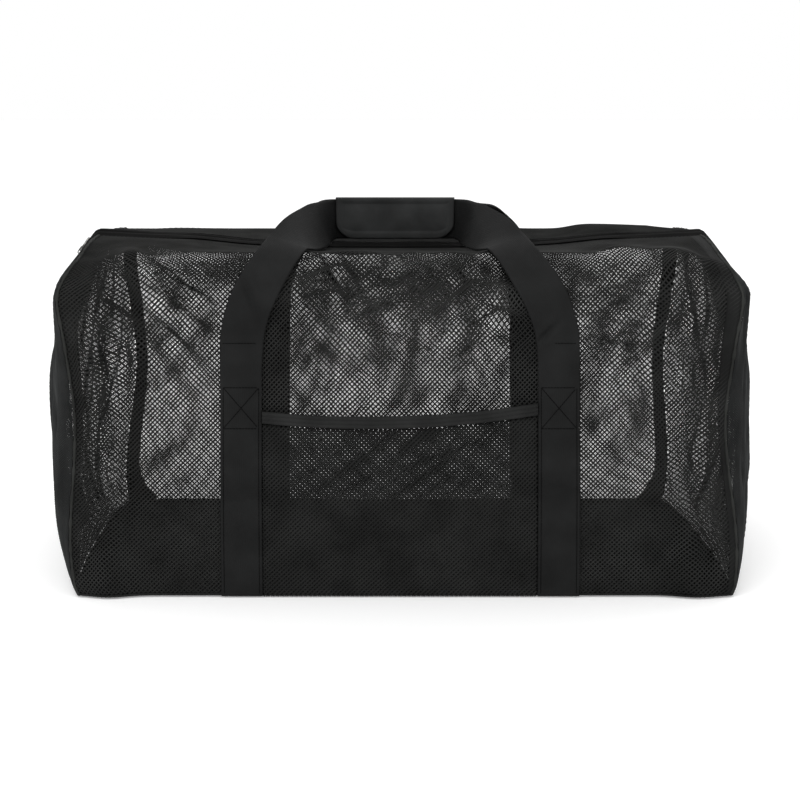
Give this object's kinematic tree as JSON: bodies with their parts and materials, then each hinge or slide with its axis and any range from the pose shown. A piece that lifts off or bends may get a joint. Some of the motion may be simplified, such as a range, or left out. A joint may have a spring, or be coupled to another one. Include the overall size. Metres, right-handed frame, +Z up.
{
  "type": "mesh dive gear duffel bag",
  "caption": "Soft duffel of open net on a plain cloth bottom, with a zipper over the top, a net pocket in front and webbing handles joined in a padded grip.",
  "frame": {"origin": "middle of the bag's underside, midway between its end seams and between its front and back seams", "axes": "+X along the bag, to the right seen from the pocket's side; +Y from the front to the back; +Z up"},
  "size_m": [0.8605, 0.4191, 0.4456],
  "materials": {
    "net": "open polyester net, matte",
    "bottom_cloth": "coated plain weave",
    "webbing": "ribbed polypropylene webbing, slight sheen",
    "tape": "folded binding tape and zipper tape",
    "grip_cloth": "padded woven cloth with a bound rim",
    "coil": "black nylon coil",
    "zipper_metal": "cast and tumbled, satin"
  },
  "bodies": {
    "bag": {"bottom_panel": "bottom_cloth", "front_mesh_panel": "net", "back_mesh_panel": "net", "left_end_panel": "net", "right_end_panel": "net", "seam_binding_left": "tape", "seam_binding_right": "tape", "zipper_tape_front": "tape", "zipper_tape_back": "tape", "zipper_coil": "coil", "zipper_slider": "zipper_metal", "pocket_panel": "net", "pocket_binding": "tape", "front_handle": "webbing", "back_handle": "webbing", "handle_wrap": "grip_cloth"},
    "pull": {"zipper_pull": "zipper_metal"}
  },
  "joints": [
    {"name": "pull_hinge", "type": "hinge", "parent": "bag", "child": "pull", "pos_m": [-0.39353, 0, 0.38129], "axis": [0, -1, 0], "range_deg": [0, 160]}
  ]
}
